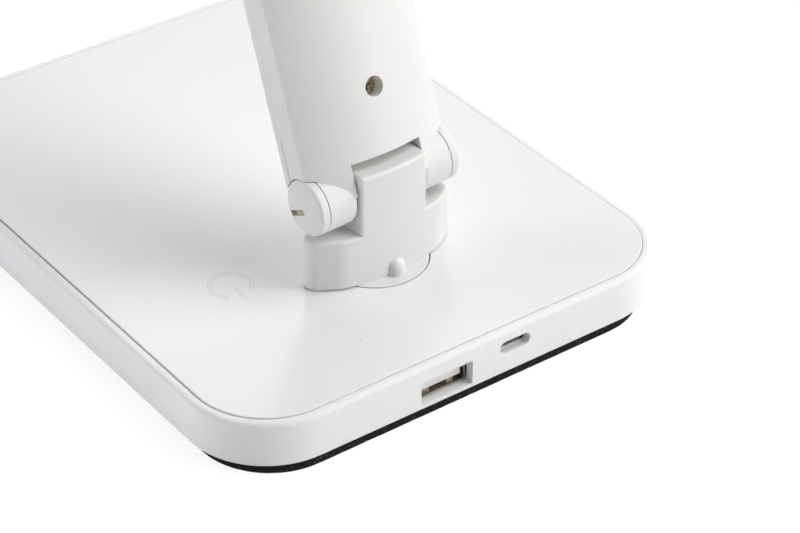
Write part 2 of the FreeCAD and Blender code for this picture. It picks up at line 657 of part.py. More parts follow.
# Arm, upright about the tilt axis: X across, +Y the convex back, Z along the arm
notch_half = half_t + TONGUE_SIDE_GAP
notch_top = TONGUE_R + TONGUE_TOP_GAP
head_notch = ARM_LEN - HEAD_TONGUE_R - TONGUE_TOP_GAP
scallop_r = KNUCKLE_R + SCALLOP_GAP
end_low = notch_top + ARM_WALL
end_high = head_notch - ARM_WALL
wide = ARM_HALF_W + 5
inner_front = ARM_FRONT + ARM_WALL
arm_inner = inner_edge(ARM_HALF_W, ARM_EDGE, ARM_BACK, ARM_WALL)
outer = d_prism(ARM_HALF_W, ARM_FRONT, ARM_EDGE, ARM_BACK, 0, ARM_LEN)
long_edges = [e for e in outer.Edges if e.BoundBox.ZLength > ARM_LEN / 2]
outer = outer.makeFillet(ARM_EDGE_R, long_edges)
cavity = d_prism(ARM_HALF_W - ARM_WALL, inner_front, arm_inner, ARM_BACK - ARM_WALL, end_low, end_high)
behind = block(-wide, wide, ARM_SEAM, ARM_BACK + 5, -wide, ARM_LEN + wide)
ahead = block(-wide, wide, ARM_FRONT - 5, ARM_SEAM, -wide, ARM_LEN + wide)
notches = [block(-notch_half, notch_half, -wide, wide, -wide, notch_top),
           block(-notch_half, notch_half, -wide, wide, head_notch, ARM_LEN + wide)]

# Knuckles, one pair at each end of the arm
web = notch_half + WEB_T
sleeve_r = PIN_R + 2.6
knuckle = rod(KNUCKLE_R, notch_half, CAP_SEAM)
inner_rim = [e for e in knuckle.Edges if e.BoundBox.XMax < notch_half + 0.001]
knuckle = knuckle.makeFillet(KNUCKLE_END_R, inner_rim)
mirror_x = knuckle.mirror(V(0, 0, 0), V(1, 0, 0))
barrels = []
bores = []
scallops = []
sweeps = []
for s in (0, ARM_LEN):
    for piece in (knuckle, mirror_x):
        barrel = piece.copy()
        barrel.translate(V(0, 0, s))
        barrels.append(barrel)
    bores.append(rod(PIN_R, -wide, wide, s))
    bores.append(rod(sleeve_r, web, CAP_SEAM + 1, s))
    bores.append(rod(sleeve_r, -CAP_SEAM - 1, -web, s))
    scallops.append(rod(scallop_r, CAP_SEAM, wide, s))
    scallops.append(rod(scallop_r, -wide, -CAP_SEAM, s))
    sweeps.append(rod(scallop_r, -wide, wide, s))

# Screw posts that hold the two covers together
arm_post_r = ARM_SCREW_HEAD_R + 1.5
sink_r = ARM_SCREW_HEAD_R + DROP_GAP
seat = ARM_BACK - ARM_SCREW_SINK - ARM_SCREW_HEAD_T
post_meet = seat - 1.2
shank_low = inner_front + 1.0
arm_spots = (ARM_SCREW_S, ARM_LEN - ARM_SCREW_S)
rear = joined([outer.common(behind).cut(cavity)] + barrels
              + [bolt_y(arm_post_r, 0, s, post_meet, ARM_BACK - 0.5 * ARM_WALL) for s in arm_spots])
rear = rear.cut(scallops + bores + notches)
front = joined([outer.common(ahead).cut(cavity)]
               + [bolt_y(arm_post_r, 0, s, inner_front - 0.2, post_meet) for s in arm_spots])
FRONT_END = 0.62 * KNUCKLE_R
trims = [block(-wide, wide, ARM_FRONT - 5, ARM_SEAM + 5, -wide, FRONT_END),
         block(-wide, wide, ARM_FRONT - 5, ARM_SEAM + 5, ARM_LEN - FRONT_END, ARM_LEN + wide)]
front = front.cut(sweeps + notches + trims)
for side in (-1, 1):
    lip = block(ARM_HALF_W - 0.6 * ARM_WALL, wide, ARM_SEAM - SEAM_RELIEF, ARM_SEAM + 1, -1, SEAM_RELIEF_L)
    front = front.cut(lip if side == 1 else lip.mirror(V(0, 0, 0), V(1, 0, 0)))
lead_a = -0.45 * notch_half
arm_screws = []
for s in arm_spots:
    rear = rear.cut(bolt_y(sink_r, 0, s, seat, ARM_BACK + 1))
    rear = rear.cut(bolt_y(ARM_SCREW_R, 0, s, post_meet - 1, seat + 1))
    front = front.cut(bolt_y(ARM_SCREW_R, 0, s, shank_low, post_meet + 1))
    head = bolt_y(ARM_SCREW_HEAD_R, 0, s, seat, seat + ARM_SCREW_HEAD_T)
    cross_y = seat + 0.45 * ARM_SCREW_HEAD_T
    arms = block(-1.3, 1.3, cross_y, seat + ARM_SCREW_HEAD_T + 1, s - 0.35, s + 0.35)
    arms = arms.fuse(block(-0.35, 0.35, cross_y, seat + ARM_SCREW_HEAD_T + 1, s - 1.3, s + 1.3))
    arm_screws.append(joined([head, bolt_y(ARM_SCREW_R, 0, s, shank_low, seat)]).cut(arms))
lead_holes = [post(LEAD_HOLE_R, lead_a, ARM_SEAM + 3.5, 0, end_low + 1),
              post(LEAD_HOLE_R, lead_a, ARM_SEAM + 3.5, end_high - 1, ARM_LEN)]
rear = rear.cut(lead_holes)


def in_arm(shape):
    """From the arm's upright frame to its place on the lamp."""
    return leaned(shape, ARM_LEAN_DEG, hinge_at)


turned("arm_rear_cover", in_arm(rear))
turned("arm_front_cover", in_arm(front))
turned("arm_screws", in_arm(Part.makeCompound(arm_screws)))
bar_x0 = arm_post_r + BAR_SIDE
bar_x1 = ARM_HALF_W - ARM_WALL - BAR_SIDE
arm_bar = block(bar_x0, bar_x1, inner_front, inner_front + BAR_T, end_low + BAR_END, end_high - BAR_END)
turned("arm_bar", in_arm(arm_bar))
lead_x = -(arm_post_r + LEAD_END)
lead = block(lead_x - LEAD_W / 2, lead_x + LEAD_W / 2, inner_front, inner_front + LEAD_T,
             end_low + LEAD_END, end_high - LEAD_END)
backs = [e for e in lead.Edges
         if e.BoundBox.ZLength > ARM_LEN / 3 and e.BoundBox.YMin > inner_front + LEAD_T / 2]
turned("arm_lead", in_arm(lead.makeFillet(0.45 * LEAD_T, backs)))

# Hinge hardware in both pairs of knuckles
stack_x = web + WASHER_T
across = 3.3 * PIN_R
dome_r = KNUCKLE_R - CAP_RIM_R
ball_r = (dome_r ** 2 + CAP_DOME ** 2) / (2 * CAP_DOME)
cap_ring = rod(sleeve_r, CAP_SEAM - CAP_PLUG_L, CAP_SEAM)
cap_neck = rod(KNUCKLE_R - 0.7, CAP_SEAM, CAP_SEAM + CAP_STEP)
cap_disc = rod(KNUCKLE_R, CAP_SEAM + CAP_STEP, CAP_FACE)
cap_disc = cap_disc.makeFillet(CAP_RIM_R, [e for e in cap_disc.Edges if e.BoundBox.XMin > CAP_FACE - 0.001])
ball = Part.makeSphere(ball_r, V(CAP_FACE + CAP_DOME - ball_r, 0, 0))
cap_dome = ball.common(rod(dome_r, CAP_FACE - 0.2, CAP_FACE + CAP_DOME + 1))
cap = joined([cap_ring, cap_neck, cap_disc, cap_dome])
slot = block(CAP_FACE - 1.1, CAP_FACE + 5, -0.9 * KNUCKLE_R, 0.02 * KNUCKLE_R,
             -CAP_SLOT_DROP - CAP_SLOT_W / 2, -CAP_SLOT_DROP + CAP_SLOT_W / 2)
slot.rotate(V(0, 0, 0), V(1, 0, 0), CAP_SLOT_TURN_DEG)
cap = cap.cut(slot)
for joint, s in (("tilt", 0), ("head", ARM_LEN)):
    bolt_head = hex_rod(across, stack_x, stack_x + BOLT_HEAD_T)
    bolt = joined([rod(PIN_R, -stack_x - BOLT_HEAD_T, stack_x), bolt_head])
    lock = hex_rod(across, -stack_x - BOLT_HEAD_T, -stack_x).cut(rod(PIN_R, -wide, wide))
    washers = [rod(sleeve_r - 0.3, x0, x0 + WASHER_T).cut(rod(PIN_R, -wide, wide))
               for x0 in (web, -stack_x)]
    pieces = {
        "bolt": bolt,
        "nut": lock,
        "washers": Part.makeCompound(washers),
        "cap_left": cap,
        "cap_right": cap.mirror(V(0, 0, 0), V(1, 0, 0)),
    }
    for word, shape in pieces.items():
        moved = shape.copy()
        moved.translate(V(0, 0, s))
        turned(joint + "_" + word, in_arm(moved))

# Head, upright about its own axis: X across, +Y the convex top, Z towards the tip
lean = math.radians(ARM_LEAN_DEG)
head_at = hinge_at + V(0, -ARM_LEN * math.sin(lean), ARM_LEN * math.cos(lean))


def in_head(shape):
    """From the head's upright frame to its place on the lamp."""
    return leaned(shape, HEAD_LEAN_DEG, head_at)


def head_plan(inset, s0, b0, b1, r):
    """Plan of the head moved in by an inset, with round corners at the tip, as a prism."""
    body = block(-HEAD_HALF_W + inset, HEAD_HALF_W - inset, b0, b1, s0, HEAD_LEN - inset)
    tips = [e for e in body.Edges
            if e.BoundBox.YLength > 0.5 * (b1 - b0) and e.BoundBox.ZMin > HEAD_LEN - inset - 0.001]
    return body.makeFillet(r, tips)


deep = 20.0
head_inner = inner_edge(HEAD_HALF_W, HEAD_EDGE, HEAD_BACK, HEAD_WALL)
under_in = HEAD_UNDER + HEAD_WALL
full = d_prism(HEAD_HALF_W, HEAD_UNDER, HEAD_EDGE, HEAD_BACK, HEAD_START, HEAD_LEN)
full = full.common(head_plan(0, HEAD_START, -deep, deep, HEAD_TIP_R))
hollow = d_prism(HEAD_HALF_W - HEAD_WALL, under_in, head_inner, HEAD_BACK - HEAD_WALL,
                 HEAD_START + HEAD_WALL, HEAD_LEN)
hollow = hollow.common(head_plan(HEAD_WALL, HEAD_START + HEAD_WALL, -deep, deep, HEAD_TIP_R - HEAD_WALL))
neck_top = 0.5 * HEAD_BACK
neck_end = HEAD_START + NECK_L
neck = block(-half_t, half_t, under_in, neck_top, 0, neck_end)
above = block(-deep * 2, deep * 2, HEAD_SPLIT, deep, 0, HEAD_LEN + 5)
below = block(-deep * 2, deep * 2, -deep, HEAD_SPLIT, 0, HEAD_LEN + 5)

# Light source levels: board under the ceiling, LEDs under it, diffuser in the underside
led_top = 0.16 * HEAD_BACK
led_low = led_top - LED_BOARD_T
window_s0 = neck_end + WINDOW_LIP
board_s0 = window_s0 + 2
board_s1 = HEAD_LEN - HEAD_TIP_R
board_half = 0.62 * HEAD_HALF_W
led_post_r = 2.6
led_spots = [board_s0 + f * (board_s1 - board_s0) for f in (0.06, 0.5, 0.94)]
knuckle_spots = [(side * 0.55 * half_t, neck_end - 5) for side in (-1, 1)]
ceiling = HEAD_BACK - 0.5 * HEAD_WALL
head_posts = [bolt_y(led_post_r, 0, s, led_top, ceiling) for s in led_spots]
head_posts = head_posts + [bolt_y(led_post_r, x, s, neck_top, ceiling) for x, s in knuckle_spots]
inside = [p.common(full) for p in head_posts]
head_shell = joined([full.common(above).cut(hollow)] + inside)
head_bezel = full.common(below).cut(hollow)
window = head_plan(WINDOW_LIP, window_s0, HEAD_UNDER - 1, under_in + 0.5, HEAD_TIP_R - WINDOW_LIP)
head_shell = head_shell.cut(neck)
head_bezel = head_bezel.cut([neck, window])

# Diffuser: a pane that fills the window flush and hangs on its ledge
pane = head_plan(WINDOW_LIP + FACE_GAP, window_s0 + FACE_GAP, HEAD_UNDER, under_in + 0.2,
                 HEAD_TIP_R - WINDOW_LIP)
shelf_in = WINDOW_LIP - WINDOW_LEDGE
shelf = head_plan(shelf_in, window_s0 - WINDOW_LEDGE, under_in, under_in + 0.8, HEAD_TIP_R - shelf_in)
turned("diffuser", in_head(joined([pane, shelf])))

led_board = block(-board_half, board_half, led_low, led_top, board_s0, board_s1)
led_screws = []
for s in led_spots:
    bite = led_top + 0.6 * (ceiling - led_top)
    head_shell = head_shell.cut(bolt_y(LED_SCREW_R, 0, s, led_top - 1, bite))
    led_board = led_board.cut(bolt_y(LED_SCREW_R, 0, s, led_low - 1, led_top + 1))
    head = bolt_y(1.9 * LED_SCREW_R, 0, s, led_low - 0.9, led_low)
    led_screws.append(joined([head, bolt_y(LED_SCREW_R, 0, s, led_low, bite)]))
turned("led_board", in_head(led_board))
turned("led_screws", in_head(Part.makeCompound(led_screws)))
leds = []
pitch = (board_s1 - board_s0) / LED_PER_ROW
for i in range(LED_PER_ROW):
    s = board_s0 + (i + 0.5) * pitch
    for x in (-0.6 * board_half, 0.6 * board_half):
        led = block(x - LED_W / 2, x + LED_W / 2, led_low - LED_T, led_low, s - LED_L / 2, s + LED_L / 2)
        leds.append(led)
turned("led_chips", in_head(Part.makeCompound(leds)))

# Tongue of the head, with its bushing and the screws that hold it in the shell
head_tongue = joined([rod(HEAD_TONGUE_R, -half_t, half_t), neck])
head_tongue = head_tongue.cut(rod(bush_r, -half_t - 1, half_t + 1))
knuckle_screws = []
head_seat = under_in + 1.6
for x, s in knuckle_spots:
    bite = neck_top + 0.5 * (ceiling - neck_top)
    head_tongue = head_tongue.cut(bolt_y(KNUCKLE_SCREW_HEAD_R, x, s, under_in - 1, head_seat))
    head_tongue = head_tongue.cut(bolt_y(KNUCKLE_SCREW_R, x, s, under_in - 1, neck_top + 1))
    head_shell = head_shell.cut(bolt_y(KNUCKLE_SCREW_R, x, s, neck_top - 1, bite))
    head = bolt_y(KNUCKLE_SCREW_HEAD_R, x, s, under_in + 0.2, head_seat)
    knuckle_screws.append(joined([head, bolt_y(KNUCKLE_SCREW_R, x, s, head_seat, bite)]))
turned("head_shell", in_head(head_shell))
turned("head_bezel", in_head(head_bezel))
turned("head_knuckle", in_head(head_tongue))
turned("head_knuckle_screws", in_head(Part.makeCompound(knuckle_screws)))
turned("head_bushing", in_head(bushing))
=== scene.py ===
"""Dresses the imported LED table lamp: moulded plastics, foam, metals, its studio and its camera."""

import json
import math

import bpy
import numpy as np
from bpy.props import FloatProperty, FloatVectorProperty, IntProperty, PointerProperty
from mathutils import Matrix, Vector


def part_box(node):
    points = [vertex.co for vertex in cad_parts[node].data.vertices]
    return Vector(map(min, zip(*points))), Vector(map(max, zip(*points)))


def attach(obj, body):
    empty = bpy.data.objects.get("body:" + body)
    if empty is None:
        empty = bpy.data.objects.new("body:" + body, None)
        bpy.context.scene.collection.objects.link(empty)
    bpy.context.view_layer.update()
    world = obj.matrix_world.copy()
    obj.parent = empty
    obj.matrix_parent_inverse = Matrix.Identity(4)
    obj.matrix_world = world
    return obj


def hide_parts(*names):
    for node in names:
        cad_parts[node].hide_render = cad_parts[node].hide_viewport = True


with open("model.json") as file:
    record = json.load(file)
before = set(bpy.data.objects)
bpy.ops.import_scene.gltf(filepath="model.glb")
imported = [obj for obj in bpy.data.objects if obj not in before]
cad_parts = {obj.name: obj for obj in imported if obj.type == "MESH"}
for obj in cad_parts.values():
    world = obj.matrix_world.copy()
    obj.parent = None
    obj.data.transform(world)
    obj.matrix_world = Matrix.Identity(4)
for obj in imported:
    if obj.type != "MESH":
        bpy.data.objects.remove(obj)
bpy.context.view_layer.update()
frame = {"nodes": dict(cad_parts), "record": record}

bl_info = {
    "name": "LED Table Lamp",
    "version": (1, 0, 0),
    "blender": (4, 5, 0),
    "location": "View3D > Sidebar > Lamp",
    "description": "Finishes for every piece of a table lamp, a foam pad with lint, and a white studio",
    "category": "Object",
}

PAD_LOW, PAD_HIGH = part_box("foot_pad")
PAD_MIDDLE = np.array([(PAD_LOW.x + PAD_HIGH.x) / 2, (PAD_LOW.y + PAD_HIGH.y) / 2, 0.0])
MARK_LOW, MARK_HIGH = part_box("touch_mark")

# Touch mark: width of a stroke and the two ends of the bar, as shares of the ring's outer radius
STROKE_SHARE = 1.15 / 5.35
BAR_FROM = 0.42
BAR_TO = 1.18

# Touch mark: half of the bar's field and where the outline starts and is full, as shares of a stroke
BAR_FIELD = 0.7
LINE_FROM = 0.3
LINE_FULL = 0.46

# Hinge caps: face of a cap and edge of its slot, as shares of its reach and of its radius; they bound the
# shade painted into the slots
CAP_FACE_SHARE = 0.971
CAP_SLOT_SHARE = 0.92

# Depth of bump in metres
SATIN_DEPTH = 1.5e-6
STREAK_DEPTH = 3e-6
LID_WAVE_DEPTH = 4e-6
PORE_DEPTH = 6e-5

# Patterns per metre: flow marks, stains on metal, speckle in the mark, pores and clouds in the foam
FLOW_SCALE = 38.0
STAIN_SCALE = 160.0
SPECKLE_SCALE = 2600.0
PORE_SCALE = 5200.0
CLOUD_SCALE = 420.0

# Colours of the specks on the lid and in the foam
LID_DUST = (0.42, 0.41, 0.4, 1.0)
FOAM_SPECK = (0.16, 0.16, 0.165, 1.0)

# Light in white plastic: refraction, spread of the roughness, and how far each colour goes inside
PLASTIC_IOR = 1.47
LID_IOR = 1.49
PLASTIC_SPREAD = 0.1
SCATTER_RADIUS = (1.0, 0.9, 0.8)
SCATTER_SCALE = 0.001

# Seeds of the foam's cut edge and of the lint
FOAM_SEED = 7
LINT_SEED = 11

# Lint: length and bend of a fibre, how far its start and the rest stay off the pad's two faces, thickness
LINT_LENGTH = (0.00012, 0.0007)
LINT_BEND = 0.0002
LINT_START = 0.0002
LINT_CLEAR = 0.0001
LINT_THICK = (0.6, 1.6)

# Where each soft light stands, in degrees round from +X and degrees up, and how large and far it is
LIGHT_PLACES = {"key": (125, 20), "high": (150, 55), "side": (200, 30), "back": (250, 50), "fill": (324, 12)}
LIGHT_REACH = 1.5
LIGHT_SIZE = 0.9
LIGHT_AIM = Vector((0.0, 0.0, 0.04))

# Floor: its colour in light, and the glow and faint shading that the camera sees instead
FLOOR_COLOUR = (0.93, 0.93, 0.93, 1.0)
FLOOR_GLOW = 0.88
FLOOR_SHADE = (0.2, 0.2, 0.2, 1.0)
FLOOR_Z = -0.0001
PLAIN_WHITE = (1.0, 1.0, 1.0, 1.0)

# CAD nodes of each material slot
NODES_OF = {}
for row in frame["record"]["subparts"]:
    NODES_OF.setdefault(row["material_slot"], []).append(row["node"])


def colour(name, description, default):
    """A colour that a user would change."""
    return FloatVectorProperty(name=name, description=description, subtype="COLOR", size=3,
                               min=0.0, max=1.0, default=default)


def length(name, description, default):
    """A length in metres that a user would change."""
    return FloatProperty(name=name, description=description, unit="LENGTH", min=0.0, default=default)


def share(name, description, default):
    """A plain amount from 0 to 1."""
    return FloatProperty(name=name, description=description, subtype="FACTOR", min=0.0, max=1.0,
                         default=default)


def power(name, description, default):
    """Power of a light in watts."""
    return FloatProperty(name=name, description=description, unit="POWER", min=0.0, default=default)


class LampPad(bpy.types.PropertyGroup):
    """Sizes of the foam pad and of the lint on its edge."""

    corner: length("Corner", "Radius of the pad's corners in plan", 0.018)
    edge: length("Edge", "Radius of the pad's soft edges", 0.00015)
    ragged: length("Ragged", "How far the cut foam wanders in and out", 0.00006)
    around: IntProperty(name="Around", description="Points round the pad", min=64, default=900)
    lint: IntProperty(name="Lint", description="Fibres on the pad's edge", min=0, default=420)
    fibre: length("Fibre", "Radius of one fibre", 0.000016)


class LampFinish(bpy.types.PropertyGroup):
    """Colours and gloss of the lamp's surfaces."""

    satin: colour("Satin white", "Moulded covers, turret and head", (0.8, 0.798, 0.785))
    shell: colour("Shell white", "Moulded shell of the base", (0.87, 0.87, 0.869))
    satin_rough: share("Satin roughness", "Roughness of the moulded covers", 0.42)
    lid: colour("Lid white", "Glossy lid of the base", (0.86, 0.86, 0.86))
    lid_rough: share("Lid roughness", "Roughness of the glossy lid", 0.2)
    foam: colour("Foam", "Foot pad", (0.005, 0.005, 0.005))
    mark: colour("Mark", "Inside of the touch mark's strokes", (0.805, 0.809, 0.82))
    mark_line: colour("Mark line", "Outline of the touch mark's strokes", (0.68, 0.683, 0.695))
    scatter: share("Scatter", "Share of light that goes into the white plastic and out again", 0.35)
    # Painted shade: a darker brown laid into the caps' slots and seams in place of their white
    slot_shade: colour("Slot shade", "What has settled in the slots of the caps", (0.68, 0.62, 0.5))


class LampStudio(bpy.types.PropertyGroup):
    """Camera and light of the studio."""

    camera_at: FloatVectorProperty(name="Camera", description="Where the camera stands", size=3,
                                   subtype="TRANSLATION", unit="LENGTH",
                                   default=(0.308485, 0.46962, 0.380948))
    turn: FloatProperty(name="Turn", description="Camera's turn about the vertical", subtype="ANGLE",
                        default=math.radians(143.525))
    tilt: FloatProperty(name="Tilt", description="Camera's tilt below the horizon", subtype="ANGLE",
                        default=math.radians(34.932))
    roll: FloatProperty(name="Roll", description="Camera's roll about its own line of sight", subtype="ANGLE",
                        default=math.radians(0.158))
    lens: FloatProperty(name="Lens", description="Focal length in millimetres", min=1.0, default=127.724)
    ambient: FloatProperty(name="Ambient", description="Strength of the even light", min=0.0, default=0.21)
    key: power("Key", "Low light beside the ports", 8.1)
    high: power("High", "High light above the right side", 11.6)
    side: power("Side", "Light on the far right", 1.8)
    back: power("Back", "High light opposite the camera", 3.7)
    fill: power("Fill", "Low light on the left side", 11.4)
    fill_tint: colour("Fill tint", "Colour of the low light on the left side", (0.93, 0.95, 1.0))


class LampSettings(bpy.types.PropertyGroup):
    """All settings of the lamp."""

    pad: PointerProperty(type=LampPad)
    finish: PointerProperty(type=LampFinish)
    studio: PointerProperty(type=LampStudio)


# Mesh helpers


def grid_faces(rows, columns):
    """Quads of a grid whose rows close on themselves, as an array of vertex numbers."""
    i, j = np.meshgrid(np.arange(rows - 1), np.arange(columns), indexing="ij")
    here = i * columns + j
    beside = i * columns + (j + 1) % columns
    return np.stack([here, beside, beside + columns, here + columns], axis=-1).reshape(-1, 4)


def new_piece(name, points, faces, material):
    """A smooth mesh object at the origin from an array of points and lists of faces."""
    mesh = bpy.data.meshes.new(name)
    mesh.from_pydata(points.reshape(-1, 3).tolist(), [], faces)
    mesh.polygons.foreach_set("use_smooth", np.full(len(mesh.polygons), True))
    mesh.materials.append(material)
    mesh.update()
    piece = bpy.data.objects.new(name, mesh)
    bpy.context.scene.collection.objects.link(piece)
    return piece


def plan_path(half_x, half_y, corner, count):
    """Centres and outward normals round a rectangle with round corners, at equal steps of arc length.

    Four straights and four quarter arcs follow one another; a point with an inset d lies at
    centre + (corner - d) * normal."""
    x, y = half_x - corner, half_y - corner
    arc = math.pi / 2 * corner
    runs = np.array([2 * y, arc, 2 * x, arc] * 2)
    starts = np.concatenate([[0.0], np.cumsum(runs)])
    s = np.linspace(0.0, starts[-1], count, endpoint=False)
    leg = np.searchsorted(starts, s, side="right") - 1
    part = (s - starts[leg]) / runs[leg]
    quarter = leg // 2
    swing = np.where(leg % 2 == 1, part, 0.0)
    angle = (quarter + swing) * math.pi / 2
    normal = np.stack([np.cos(angle), np.sin(angle)], axis=-1)
    corners = np.array([[x, -y], [x, y], [-x, y], [-x, -y], [x, -y]])
    along = np.where(leg % 2 == 0, part, 1.0)[:, None]
    centre = corners[quarter] * (1 - along) + corners[quarter + 1] * along
    return centre, normal


def smooth_noise(rng, rows, columns, reach):
    """Seeded noise on a grid, closed along its rows, smoothed by a Gaussian of that reach in columns."""
    wave = np.fft.rfftfreq(columns) * columns
    soften = np.exp(-0.5 * (wave * reach * 2 * math.pi / columns) ** 2)
    raw = np.fft.irfft(np.fft.rfft(rng.normal(size=(rows, columns)), axis=1) * soften, n=columns, axis=1)
    return raw / raw.std()


# Node helpers


def put(tree, kind, inputs=None, **settings):
    """Adds a node: settings are its options, inputs are sockets to link or constants to set."""
    made = tree.nodes.new(kind)
    for key, value in settings.items():
        setattr(made, key, value)
    for key, value in (inputs or {}).items():
        if isinstance(value, bpy.types.NodeSocket):
            tree.links.new(value, made.inputs[key])
        else:
            made.inputs[key].default_value = value
    return made


def sums(tree, operation, *values, clamp=False):
    """Output of a Math node on sockets or constants."""
    made = put(tree, "ShaderNodeMath", dict(enumerate(values)), operation=operation, use_clamp=clamp)
    return made.outputs[0]


def between(tree, value, low, high, to_low=0.0, to_high=1.0, smooth=False):
    """Output of a Map Range node."""
    inputs = {"Value": value, "From Min": low, "From Max": high, "To Min": to_low, "To Max": to_high}
    kind = "SMOOTHSTEP" if smooth else "LINEAR"
    return put(tree, "ShaderNodeMapRange", inputs, interpolation_type=kind).outputs["Result"]


def blended(tree, factor, a, b):
    """Colour between a and b."""
    made = put(tree, "ShaderNodeMix", data_type="RGBA")
    for index, value in ((0, factor), (6, a), (7, b)):
        if isinstance(value, bpy.types.NodeSocket):
            tree.links.new(value, made.inputs[index])
        else:
            made.inputs[index].default_value = value
    return made.outputs[2]


def new_group(name, inputs, outputs):
    """An empty shader node group with named sockets: (tree, its input sockets, its output node)."""
    tree = bpy.data.node_groups.new(name, "ShaderNodeTree")
    kinds = {"colour": "NodeSocketColor", "value": "NodeSocketFloat"}
    for label, (kind, default) in inputs.items():
        socket = tree.interface.new_socket(label, in_out="INPUT", socket_type=kinds[kind])
        socket.default_value = default
    for label, kind in outputs.items():
        tree.interface.new_socket(label, in_out="OUTPUT", socket_type=kinds[kind])
    given = tree.nodes.new("NodeGroupInput").outputs
    return tree, given, tree.nodes.new("NodeGroupOutput")


def object_point(tree):
    """Object coordinates of the shaded point."""
    return put(tree, "ShaderNodeTexCoord").outputs["Object"]


def noise(tree, at, scale, detail=3.0, rough=0.5):
    """Factor of a noise texture."""
    inputs = {"Vector": at, "Scale": scale, "Detail": detail, "Roughness": rough}
    return put(tree, "ShaderNodeTexNoise", inputs).outputs["Fac"]


def seen_rays(tree):
    """1 for rays that show the plain white studio: seen directly, mirrored or through glass."""
    path = put(tree, "ShaderNodeLightPath").outputs
    mirrored = sums(tree, "MAXIMUM", path["Is Glossy Ray"], path["Is Transmission Ray"])
    return sums(tree, "MAXIMUM", path["Is Camera Ray"], mirrored)


def make_moulded_skin():
    """Moulded plastic: broad flow marks shift the colour, fine grain gives roughness and height."""
    tree, given, out = new_group(
        "moulded_skin",
        {"Colour": ("colour", (0.8, 0.8, 0.8, 1.0)), "Flow": ("value", 0.03), "Grain": ("value", 3500.0),
         "Roughness": ("value", 0.4), "Spread": ("value", 0.1)},
        {"Colour": "colour", "Roughness": "value", "Height": "value"})
    at = object_point(tree)
    broad = noise(tree, at, FLOW_SCALE, 2.0)
    fine = noise(tree, at, given["Grain"], 2.0)
    dim = sums(tree, "MULTIPLY", between(tree, broad, 0.3, 0.7), given["Flow"])
    keep = sums(tree, "SUBTRACT", 1.0, dim)
    shade = put(tree, "ShaderNodeVectorMath", {0: given["Colour"]}, operation="SCALE")
    tree.links.new(keep, shade.inputs["Scale"])
    uneven = sums(tree, "SUBTRACT", sums(tree, "ADD", fine, broad), 1.0)
    wander = sums(tree, "MULTIPLY", uneven, given["Spread"])
    tree.links.new(shade.outputs[0], out.inputs["Colour"])
    tree.links.new(sums(tree, "ADD", given["Roughness"], wander, clamp=True), out.inputs["Roughness"])
    tree.links.new(fine, out.inputs["Height"])
    return tree


def make_dust():
    """Sparse specks: cells of a Voronoi pattern, a few of which hold a small dot."""
    tree, given, out = new_group(
        "dust", {"Cells": ("value", 300.0), "Share": ("value", 0.05), "Dot": ("value", 0.1)},
        {"Mask": "value"})
    cell = put(tree, "ShaderNodeTexVoronoi", {"Vector": object_point(tree), "Scale": given["Cells"]})
    dot = sums(tree, "LESS_THAN", cell.outputs["Distance"], given["Dot"])
    pick = put(tree, "ShaderNodeSeparateColor", {"Color": cell.outputs["Color"]}).outputs["Red"]
    held = sums(tree, "LESS_THAN", pick, given["Share"])
    tree.links.new(sums(tree, "MULTIPLY", dot, held), out.inputs["Mask"])
    return tree


def make_drawn_metal():
    """Drawn or stamped metal: streaks along one way shift roughness and height, stains shift the colour."""
    tree, given, out = new_group(
        "drawn_metal",
        {"Colour": ("colour", (0.6, 0.6, 0.6, 1.0)), "Streak": ("value", 900.0), "Roughness": ("value", 0.3),
         "Stain": ("value", 0.2)},
        {"Colour": "colour", "Roughness": "value", "Height": "value"})
    at = object_point(tree)
    stretch = put(tree, "ShaderNodeMapping", {"Vector": at, "Scale": (1.0, 0.06, 1.0)}).outputs[0]
    streak = noise(tree, stretch, given["Streak"], 3.0, 0.6)
    stain = noise(tree, at, STAIN_SCALE, 3.0)
    dim = sums(tree, "SUBTRACT", 1.0, sums(tree, "MULTIPLY", between(tree, stain, 0.4, 0.75), given["Stain"]))
    shade = put(tree, "ShaderNodeVectorMath", {0: given["Colour"]}, operation="SCALE")
    tree.links.new(dim, shade.inputs["Scale"])
    rough = sums(tree, "ADD", given["Roughness"], between(tree, streak, 0.3, 0.7, -0.1, 0.12), clamp=True)
    tree.links.new(shade.outputs[0], out.inputs["Colour"])
    tree.links.new(rough, out.inputs["Roughness"])
    tree.links.new(streak, out.inputs["Height"])
    return tree


def group_of(name):
    """A shared effect, built the first time that it is asked for."""
    makers = {"moulded_skin": make_moulded_skin, "dust": make_dust, "drawn_metal": make_drawn_metal}
    return bpy.data.node_groups.get(name) or makers[name]()


def use(tree, name, **inputs):
    """Places a shared effect in a material with its own values."""
    made = tree.nodes.new("ShaderNodeGroup")
    made.node_tree = group_of(name)
    for key, value in inputs.items():
        made.inputs[key].default_value = value
    return made.outputs


def new_material(name):
    """A material with only a Principled shader and its output: (material, tree, shader)."""
    made = bpy.data.materials.new(name)
    made.use_nodes = True
    tree = made.node_tree
    tree.nodes.clear()
    shader = tree.nodes.new("ShaderNodeBsdfPrincipled")
    tree.links.new(shader.outputs[0], tree.nodes.new("ShaderNodeOutputMaterial").inputs[0])
    return made, tree, shader


def raise_grain(tree, shader, height, depth):
    """Bump from a height in metres of depth."""
    bump = put(tree, "ShaderNodeBump", {"Strength": 1.0, "Distance": depth, "Height": height})
    tree.links.new(bump.outputs[0], shader.inputs["Normal"])


def rgba(value):
    """A colour with full alpha."""
    return (*value, 1.0)


